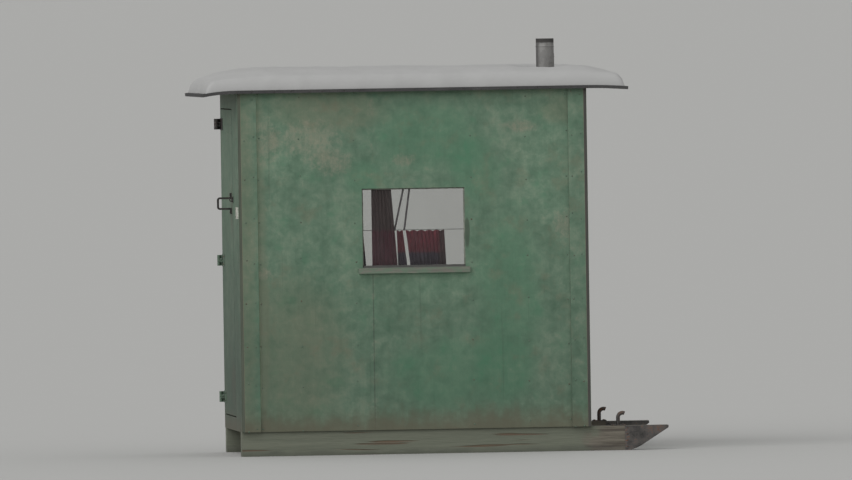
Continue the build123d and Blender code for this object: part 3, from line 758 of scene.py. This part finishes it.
heads = {"sides": 8, "rings": 4, "sizes": (0.85, 1.12),
         "aside": 0.004, "along": 0.022, "screwSpread": 0.0006}    # how far a head strays from its place
headKinds = {
    # radius, height, slot and finish
    "nail": (0.0048, 0.0016, "hook_steel", "nail"),
    "feltNail": (0.0055, 0.0016, "hook_steel", "feltNail"),
    "screw": (0.0048, 0.0018, "door_ironwork", "screw"),
    "stapleScrew": (0.0030, 0.0014, "door_ironwork", "screw"),
    "hookBolt": (0.0075, 0.0045, "hook_steel", "screw"),
    "shoeNail": (0.0048, 0.0018, "nose_steel", "screw"),
    "rivet": (0.0032, 0.0016, "flue_steel", "rivet"),
}
facings = {
    # the axis it looks along, and how a head is turned to it
    "front": (1, (pi / 2, 0, 0)), "back": (1, (-pi / 2, 0, 0)), "left": (0, (0, -pi / 2, 0)),
    "right": (0, (0, pi / 2, 0)), "up": (2, (0, 0, 0)),
}


def headTree():
    # Rows of edges in, heads along them out
    tree = bpy.data.node_groups.new("nail_rows", "GeometryNodeTree")
    kinds = {"Rows": "Geometry", "Spacing": "Float", "Head Radius": "Float", "Head Height": "Float",
             "Facing": "Rotation", "Spread": "Vector", "Seed": "Int", "Material": "Material"}
    sockets = {name: tree.interface.new_socket(name=name, in_out="INPUT", socket_type="NodeSocket" + kind)
               for name, kind in kinds.items()}
    tree.interface.new_socket(name="Heads", in_out="OUTPUT", socket_type="NodeSocketGeometry")
    g = Graph(tree)
    given = g.node("GroupInput").socket.node
    ask = {socket.name: Wire(g, socket) for socket in given.outputs if socket.name}
    line = g.node("MeshToCurve", {"Mesh": ask["Rows"]})
    points = g.node("ResampleCurve", {"Curve": line, "Length": ask["Spacing"]}, mode="LENGTH")
    opposite = g.node("VectorMath", {"Vector": ask["Spread"], "Scale": -1.0}, operation="SCALE")
    wander = g.node("RandomValue", {"Min": opposite, "Max": ask["Spread"], "Seed": ask["Seed"]},
                    data_type="FLOAT_VECTOR")
    moved = g.node("SetPosition", {"Geometry": points, "Offset": wander})
    ball = g.node("MeshUVSphere", {"Segments": heads["sides"], "Rings": heads["rings"], "Radius": 1.0})
    shape = g.node("CombineXYZ", (ask["Head Radius"], ask["Head Radius"], ask["Head Height"]))
    dome = g.node("Transform", {"Geometry": ball, "Scale": shape})
    smallest, largest = heads["sizes"]
    size = g.node("RandomValue", {"Min_001": smallest, "Max_001": largest, "Seed": ask["Seed"] + 1},
                  "Value_001", data_type="FLOAT")
    placed = g.node("InstanceOnPoints",
                    {"Points": moved, "Instance": dome, "Rotation": ask["Facing"], "Scale": size})
    real = g.node("RealizeInstances", (placed,))
    smooth = g.node("SetShadeSmooth", (real,))
    dressed = g.node("SetMaterial", {"Geometry": smooth, "Material": ask["Material"]})
    g.node("GroupOutput", (dressed,))
    return tree, {name: socket.identifier for name, socket in sockets.items()}


rowTree, rowInputs = headTree()


def headRows(name, kind, rows, facing, spacing, body, seed):
    # rows are pairs of end points on the face that the heads sit on; screws stand in line and nails wander
    radius, height, slot, finish = headKinds[kind]
    axis, turned = facings[facing]
    mesh = bpy.data.meshes.new(name)
    points = [point for row in rows for point in row]
    mesh.from_pydata(points, [(start, start + 1) for start in range(0, len(points), 2)], [])
    piece = bpy.data.objects.new(name, mesh)
    scene.collection.objects.link(piece)
    run = Vector(rows[0][1]) - Vector(rows[0][0])
    if finish in ("screw", "rivet"):
        spread = [heads["screwSpread"]] * 3
    else:
        spread = [heads["along"] if abs(part) > 0.01 else heads["aside"] for part in run]
    spread[axis] = 0.0
    modifier = piece.modifiers.new("rows", "NODES")
    modifier.node_group = rowTree
    settings = {
        "Spacing": spacing or run.length - 0.001,    # with no spacing, one head at each end
        "Head Radius": radius, "Head Height": height, "Spread": spread, "Facing": turned, "Seed": seed,
        "Material": finishes[finish],
    }
    for key, value in settings.items():
        modifier[rowInputs[key]] = value
    bpy.context.view_layer.update()
    graph = bpy.context.evaluated_depsgraph_get()
    real = bpy.data.meshes.new_from_object(piece.evaluated_get(graph), depsgraph=graph)
    piece.modifiers.clear()
    piece.data = real
    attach(piece, body)


nails = {"edge": 0.022, "spacing": 0.21, "corner": 0.13, "besideBoard": 0.012, "onBoard": 0.020,
         "endWall": 0.045, "ledgeEnd": 0.03, "ledgeSpacing": 0.155, "feltSpacing": 0.10, "feltEdge": 0.009}


def wallNails(name, facing, face, places, seed):
    # Upright rows over the studs and beside the joints
    low = hut["low"] + nails["edge"]
    high = hut["top"] - nails["edge"]
    flat = [(place, face) if facing in ("front", "back") else (face, place) for place in sorted(places)]
    rows = [((x, y, low), (x, y, high)) for x, y in flat]
    headRows(name, "nail", rows, facing, nails["spacing"], "hut", seed)


def studLines(node, axis):
    return [boxCentre(box)[axis] for box in solidBoxes(node)]


def wholeStuds(node, window):
    # Without those that the window cuts and those at the corners
    return [x for x in studLines(node, 0) if not window["left"] < x < window["right"]
            and hut["left"] + nails["corner"] < x < hut["right"] - nails["corner"]]


sheetEnds = [boardEdges[0] + nails["besideBoard"], boardEdges[1] - nails["besideBoard"]]
boardLines = [hut["left"] + boardStart + nails["onBoard"], boardEdges[0] - nails["onBoard"],
              boardEdges[1] + nails["onBoard"], hut["right"] - boardStart - nails["onBoard"]]
endLines = [hut["front"] + nails["endWall"], hut["back"] - nails["endWall"]]
frontStuds = wholeStuds("front_wall_studs", frontWindow)
backStuds = wholeStuds("back_wall_studs", backWindow)
besideDoor = [y for y in studLines("left_wall_studs", 1) if y < doorLow.y]
wallNails("front_wall_nails", "front", frontLow.y, frontStuds + sheetEnds, 11)
wallNails("back_wall_nails", "back", backHigh.y, backStuds + sheetEnds, 12)
wallNails("front_board_nails", "front", hut["front"], boardLines, 13)
wallNails("back_board_nails", "back", hut["back"], boardLines, 14)
wallNails("nose_end_nails", "right", hut["right"], studLines("right_wall_studs", 1) + endLines, 15)
wallNails("door_end_nails", "left", hut["left"], besideDoor + endLines[:1], 16)
ledgeRows = []
for low, high in solidBoxes("door_battens"):
    ends = (low.y + nails["ledgeEnd"], high.y - nails["ledgeEnd"])
    for z in (low.z + nails["edge"], high.z - nails["edge"]):
        ledgeRows.append([(doorLow.x, y, z) for y in ends])
headRows("door_nails", "nail", ledgeRows, "left", nails["ledgeSpacing"], "door", 17)
for facing, y in (("front", feltLow.y), ("back", feltHigh.y)):
    row = [(x, y, feltHigh.z - nails["feltEdge"]) for x in (hut["left"], hut["right"])]
    headRows("felt_nails_" + facing, "feltNail", [row], facing, nails["feltSpacing"], "hut", 18)

# Screws in the ironwork, and the bolts and nails of the runners

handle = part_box("door_handle")
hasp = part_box("door_hasp")
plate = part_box("number_plate")
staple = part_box("jamb_staple")
leafFace = doorLow.x - 0.003
pin = doorHigh.y + 0.0035
screws = {
    # kind, plates, x of their face, places along y, gap from top and bottom, spacing, body and seed
    "door_leaf_screws": ("screw", solidBoxes("door_hinge_leaves"), leafFace,
                         [pin - 0.030, pin - 0.068, pin - 0.106], 0.014, 0.036, "door", 21),
    "jamb_leaf_screws": ("screw", solidBoxes("jamb_hinge_leaves"), leafFace, [pin + 0.021], 0.014, 0.036,
                         "hut", 22),
    "handle_screws": ("screw", [handle], handle[1].x - 0.011, [(handle[0].y + handle[1].y) / 2], 0.010, None,
                      "door", 23),
    "hasp_screws": ("screw", [hasp], hasp[0].x, [hasp[1].y - 0.008], 0.007, 0.011, "door", 24),
    "plate_screws": ("screw", [plate], plate[0].x, [plate[0].y + 0.011, plate[1].y - 0.011], 0.011, 0.043,
                     "hut", 25),
    "staple_screws": ("stapleScrew", [staple], staple[1].x - 0.002,
                      [staple[0].y + 0.005, staple[1].y - 0.005], 0.005, 0.029, "hut", 26),
}
for name, (kind, plates, x, places, gap, spacing, body, seed) in screws.items():
    rows = [((x, y, low.z + gap), (x, y, high.z - gap)) for low, high in plates for y in places]
    headRows(name, kind, rows, "left", spacing, body, seed)

bolts = {"edge": 0.012, "plateLength": 0.080, "plateThickness": 0.006}
boltRows = []
for low, high in solidBoxes("tow_hooks"):
    ends = (low.x + bolts["edge"], low.x + bolts["plateLength"] - bolts["edge"])
    for y in (low.y + bolts["edge"], high.y - bolts["edge"]):
        boltRows.append([(x, y, low.z + bolts["plateThickness"]) for x in ends])
headRows("hook_bolts", "hookBolt", boltRows, "up", None, "hut", 27)

shoeNails = {"edge": 0.014, "fromFoot": 0.022, "fromTop": 0.012, "spacing": 0.034}
for facing, side in (("front", 0), ("back", 1)):
    shoeRows = []
    for box in solidBoxes("nose_shoes"):
        heights = (box[0].z + shoeNails["fromFoot"], box[1].z - shoeNails["fromTop"])
        shoeRows.append([(box[0].x + shoeNails["edge"], box[side].y, z) for z in heights])
    headRows("shoe_nails_" + facing, "shoeNail", shoeRows, facing, shoeNails["spacing"], "hut", 28)
print("nails and screws set")


# Curtains

cloth = {"columns": 90, "rows": 60, "thickness": 0.0009, "margin": 0.0012, "scallop": 0.007, "hem": 0.003,
         "length": 0.998}
curtains = {
    # node, pleats, scallops at the top, fullness, finish and seed
    "tall_curtain_folds": ("tall_curtain", 6, 0, 1.5, "tallCloth", 1.0),
    "left_curtain_folds": ("short_curtain_left", 2, 0, 1.6, "shortCloth", 2.0),
    "middle_curtain_folds": ("short_curtain_middle", 3, 1, 1.6, "shortCloth", 3.0),
    "right_curtain_folds": ("short_curtain_right", 10, 5, 1.7, "shortCloth", 4.0),
}


def edgeSpan(node, level):
    # Where a cloth's block begins and ends along x at a height
    found = [vertex.co.x for vertex in nodes[node].data.vertices if abs(vertex.co.z - level) < 1e-4]
    return min(found), max(found)


def thicken(piece, thickness):
    wall = piece.modifiers.new("cloth thickness", "SOLIDIFY")
    wall.thickness = thickness
    wall.offset = 0.0


def gatheredCurtain(name, node, pleats, scallops, fullness, finish, seed):
    low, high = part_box(node)
    topSpan = edgeSpan(node, high.z)
    hemSpan = edgeSpan(node, low.z)
    middle = (low.y + high.y) / 2
    swing = (high.y - low.y) / 2 - cloth["margin"]
    drop = high.z - low.z
    columns = cloth["columns"]
    rows = cloth["rows"]
    vertices = []
    uvs = []
    for row in range(rows + 1):
        v = row / rows
        left = between(topSpan[0], hemSpan[0], v)
        right = between(topSpan[1], hemSpan[1], v)
        for column in range(columns + 1):
            u = column / columns
            turn = 2 * pi * pleats * (u + 0.05 * bump(u * 3.0, v * 1.6, seed) * v)
            depth = sin(turn) * (0.72 + 0.28 * bump(u * 7.0, v * 0.8, seed + 5.0))
            across = clamped(u + 0.16 / pleats * sin(2 * turn) * (0.4 + 0.6 * v))
            sag = scallops and cloth["scallop"] * (1 - abs(cos(pi * scallops * u))) * (1 - v) ** 6
            hem = cloth["hem"] * bump(u * 5.0, 0.0, seed + 9.0) * v
            vertices.append((between(left, right, across), middle + swing * depth * (0.55 + 0.45 * v ** 0.5),
                             high.z - drop * v * cloth["length"] - sag - min(0.0, hem)))
            uvs.append((u * (topSpan[1] - topSpan[0]) * fullness, v * drop))
    piece = addPiece(name, vertices, gridFaces(columns, rows), finishes[finish], uvs)
    thicken(piece, cloth["thickness"])
    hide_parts(node)
    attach(piece, "hut")


for name, settings in curtains.items():
    gatheredCurtain(name, *settings)
print("curtains hung")


# Two tapes tied slanting between the rod and the wire

tapes = {"width": 0.011, "thickness": 0.0008, "turns": 18, "seams": 24, "rodLoop": 0.0060,
         "wireLoop": 0.0026, "wrap": (radians(-160), radians(30)), "bow": 0.0012,
         "places": [(-0.1725, -0.2265), (-0.1390, -0.1715)]}    # x at the rod and at the wire


def loopPoints(centre, radius, start, end):
    # Points round a rail, seen along it
    turns = [between(start, end, i / tapes["turns"]) for i in range(tapes["turns"] + 1)]
    return [(centre.y + radius * cos(turn), centre.z + radius * sin(turn)) for turn in turns]


def slantedTape(name, top, foot):
    rod = boxCentre(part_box("curtain_rod"))
    wire = boxCentre(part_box("curtain_wire"))
    first, last = tapes["wrap"]
    over = loopPoints(rod, tapes["rodLoop"], first, last)
    under = loopPoints(wire, tapes["wireLoop"], last, first)
    down = []
    for seam in range(1, tapes["seams"]):
        share = seam / tapes["seams"]
        down.append([between(above, below, share) for above, below in zip(over[-1], under[0])])
    path = over + down + under
    vertices = []
    uvs = []
    for index, (y, z) in enumerate(path):
        x = between(top, foot, clamped((rod.z - z) / (rod.z - wire.z)))
        bow = tapes["bow"] * sin(index * 0.9)
        for side in (-0.5, 0.5):
            vertices.append((x + side * tapes["width"], y + bow * side, z))
            uvs.append((side * tapes["width"], z))
    piece = addPiece(name, vertices, gridFaces(1, len(path) - 1), finishes["tape"], uvs)
    thicken(piece, tapes["thickness"])
    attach(piece, "hut")


for index, (top, foot) in enumerate(tapes["places"]):
    slantedTape(f"slanted_tape_{index + 1}", top, foot)
print("tapes tied")


# Putty round the panes, in the corner between the glass and the cut edge of the sheets

putty = {"sides": 0.007, "top": 0.007, "bottom": 0.013, "depth": 0.009, "steps": 40, "uneven": 0.0012}


def puttyStrand(name, pane, outwards):
    # A bevelled bead along all four edges of an opening
    window = opening(pane)
    left, right, bottom, top = [window[side] for side in ("left", "right", "bottom", "top")]
    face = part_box(pane)[1 if outwards > 0 else 0].y
    corners = [(left, bottom), (right, bottom), (right, top), (left, top)]
    sides = [((0, 1), "bottom"), ((-1, 0), "sides"), ((0, -1), "top"), ((1, 0), "sides")]
    vertices = []
    faces = []
    for start, end, (inwards, side) in zip(corners, corners[1:] + corners[:1], sides):
        loops = []
        for step in range(putty["steps"] + 1):
            x, z = [between(start[axis], end[axis], step / putty["steps"]) for axis in range(2)]
            reach = putty[side] + putty["uneven"] * bump(x * 30, z * 30, 4.0)
            tip = (x + inwards[0] * reach, face, z + inwards[1] * reach)
            loops.append([(x, face + outwards * putty["depth"], z), tip, (x, face, z)])
        points, strip = loft(loops)
        faces += [tuple(len(vertices) + corner for corner in quad) for quad in strip]
        vertices += points
    trimPiece(name, vertices, faces, "putty")


puttyStrand("front_putty", "front_window_pane", -1)
puttyStrand("back_putty", "back_window_pane", 1)
print("windows puttied")


# The flue's lock seam, on its nose side, and its row of rivets

lockSeam = {"halfAngle": 0.085, "proud": 0.0016, "sunk": 0.001, "inFlashing": 0.004, "fromTop": 0.085,
            "rivetFoot": 0.030, "rivetTop": 0.020, "rivetSpacing": 0.062}


def flueSeam():
    pipe = hut["pipe"]
    inner = hut["pipeRadius"] - lockSeam["sunk"]
    outer = hut["pipeRadius"] + lockSeam["proud"]
    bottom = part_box("flue_flashing")[1].z - lockSeam["inFlashing"]
    top = hut["pipeTop"] - lockSeam["fromTop"]
    corners = []
    for reach, side in ((inner, -1.0), (outer, -0.8), (outer, 0.0), (outer, 0.8), (inner, 1.0)):
        turn = side * lockSeam["halfAngle"]
        corners.append((pipe.x + reach * cos(turn), pipe.y + reach * sin(turn)))
    points, faces = loft([[(x, y, z) for x, y in corners] for z in (bottom, top)])
    trimPiece("flue_seam", points, faces, "flue")
    row = ((pipe.x + outer, pipe.y, bottom + lockSeam["rivetFoot"]),
           (pipe.x + outer, pipe.y, top - lockSeam["rivetTop"]))
    headRows("flue_rivets", "rivet", [row], "right", lockSeam["rivetSpacing"], "hut", 29)


flueSeam()
print("flue seamed")


# Snow on the roof

snow = {"columns": 204, "rows": 114, "inset": 0.014, "ragged": 0.02, "raggedLong": 0.6, "edgeDepth": 0.060,
        "middleDepth": 0.116, "edgeRound": 0.055, "rise": 0.36, "meltFrom": 0.180, "meltTo": 0.262,
        "sink": 0.006, "under": 0.003,
        "swells": [(3.1, 0.010, 1.0), (14, 0.003, 2.0)]}    # how close, how high, and their seed


def roofSnow():
    # Rounded at its edges, deeper in the middle and melted back round the warm pipe
    felt = BVHTree.FromPolygons([vertex.co for vertex in nodes["roof_felt"].data.vertices],
                                [tuple(face.vertices) for face in nodes["roof_felt"].data.polygons])
    pipe = hut["pipe"]
    tops = []
    bottoms = []
    for row in range(snow["rows"] + 1):
        v = row / snow["rows"]
        for column in range(snow["columns"] + 1):
            u = column / snow["columns"]
            rag = [abs(bump(u * 9.0, v * 9.0, 3.0 + side)) * snow["ragged"] for side in range(4)]
            left = feltLow.x + snow["inset"] + rag[0]
            right = feltHigh.x - snow["inset"] - rag[1]
            near = feltLow.y + snow["inset"] + rag[2] * snow["raggedLong"]
            far = feltHigh.y - snow["inset"] - rag[3] * snow["raggedLong"]
            x = between(left, right, u)
            y = between(near, far, v)
            hit = felt.ray_cast(Vector((x, y, 3.0)), Vector((0, 0, -1)))[0]
            base = (hit.z if hit else feltHigh.z) - snow["sink"]
            rounded = 1.0
            rise = 1.0
            for inwards in (min(x - left, right - x), min(y - near, far - y)):
                rounded *= sqrt(max(0.0, 1 - max(0.0, 1 - inwards / snow["edgeRound"]) ** 2))
                rise *= 1 - max(0.0, 1 - inwards / snow["rise"]) ** 2
            depth = between(snow["edgeDepth"], snow["middleDepth"], rise)
            depth += sum(tall * bump(x * close, y * close, seed) for close, tall, seed in snow["swells"])
            away = sqrt((x - pipe.x) ** 2 + (y - pipe.y) ** 2)
            melt = clamped((away - snow["meltFrom"]) / (snow["meltTo"] - snow["meltFrom"]))
            depth = (depth + 2 * snow["sink"]) * melt * melt * (3 - 2 * melt) - snow["sink"]
            tops.append(Vector((x, y, base + (depth + snow["sink"]) * rounded)))
            bottoms.append(Vector((x, y, base - snow["under"])))
    wide = snow["columns"] + 1
    count = len(tops)
    faces = gridFaces(snow["columns"], snow["rows"])
    under = [tuple(count + index for index in reversed(face)) for face in faces]
    rim = list(range(snow["columns"])) + [row * wide + wide - 1 for row in range(snow["rows"])]
    rim += [snow["rows"] * wide + column for column in range(snow["columns"], 0, -1)]
    rim += [row * wide for row in range(snow["rows"], 0, -1)]
    skirt = [(here, count + here, count + after, after) for here, after in zip(rim, rim[1:] + rim[:1])]
    piece = addPiece("lying_snow", tops + bottoms, faces + under + skirt, finishes["snow"])
    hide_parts("roof_snow")
    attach(piece, "hut")


roofSnow()
print("snow laid")


# Stage, light and camera

stage = {"floor": (162, 162, 160), "backdrop": (169, 169, 167), "halfSize": 3000.0, "skyLight": 0.75,
         "sunShare": 0.60, "sunHeight": 35.0, "sunFrom": -42.0, "sunSoftness": 60.0}


def layFloor():
    # Small squares under the hut, then ever larger ones
    steps = [-1.0, -0.1, -0.01, -0.001, 0.0, 0.001, 0.01, 0.1, 1.0]
    places = [step * stage["halfSize"] for step in steps]
    count = len(places) - 1
    f = Finish("pale_floor")
    grain = f.noise(f.place, 2.0, 3)
    material = f.close(f.principled(f.shaded(stage["floor"], 0.99 + grain * 0.02), 0.9))
    vertices = [(x, y, 0.0) for y in places for x in places]
    floor = addPiece("floor", vertices, gridFaces(count, count), material)


def lightStage():
    # An even pale world, and one large soft lamp from the front left
    world = bpy.data.worlds.new("studio")
    world.use_nodes = True
    scene.world = world
    world.node_tree.nodes.clear()
    w = Graph(world.node_tree)
    path = w.node("LightPath").socket.node
    seen = {socket.name: Wire(w, socket) for socket in path.outputs}
    plain = seen["Is Camera Ray"] + seen["Is Glossy Ray"] + seen["Is Transmission Ray"]
    plain = plain.math("MINIMUM", 1.0)
    lit = w.node("Background", {"Color": (255, 255, 255), "Strength": stage["skyLight"]})
    backdrop = w.node("Background", {"Color": stage["backdrop"], "Strength": 1.0})
    w.node("OutputWorld", (w.node("MixShader", (plain, lit, backdrop)),))
    lamp = bpy.data.lights.new("soft_key", "SUN")
    lamp.energy = stage["sunShare"] * pi
    lamp.angle = radians(stage["sunSoftness"])
    key = bpy.data.objects.new("soft_key", lamp)
    key.rotation_euler = (radians(90 - stage["sunHeight"]), 0, radians(stage["sunFrom"]))
    scene.collection.objects.link(key)


camera = {"azimuth": -5.2, "distance": 103.0, "eyeHeight": 2.70, "roll": 0.90, "heightShown": 2.737,
          "aim": (-0.054, hut["front"], 1.219), "frame": (852, 480), "sensor": 36.0, "clip": (1.0, 9000.0)}


def setCamera():
    # The photograph's own viewpoint, far off and a little left of square, with a long lens
    turn = radians(camera["azimuth"])
    eye = Vector((camera["distance"] * sin(turn), -camera["distance"] * cos(turn), camera["eyeHeight"]))
    aim = Vector(camera["aim"])
    wide, tall = camera["frame"]
    lens = bpy.data.cameras.new("long_lens")
    lens.sensor_width = camera["sensor"]
    lens.lens = lens.sensor_width * (aim - eye).length / (camera["heightShown"] * wide / tall)
    lens.clip_start, lens.clip_end = camera["clip"]
    viewer = bpy.data.objects.new("viewer", lens)
    facing = (aim - eye).to_track_quat("-Z", "Y").to_matrix().to_4x4()
    roll = Matrix.Rotation(radians(-camera["roll"]), 4, "Z")
    viewer.matrix_world = Matrix.Translation(eye) @ facing @ roll
    scene.collection.objects.link(viewer)
    scene.camera = viewer


layFloor()
lightStage()
setCamera()
scene.view_settings.view_transform = "Standard"
print("stage set")
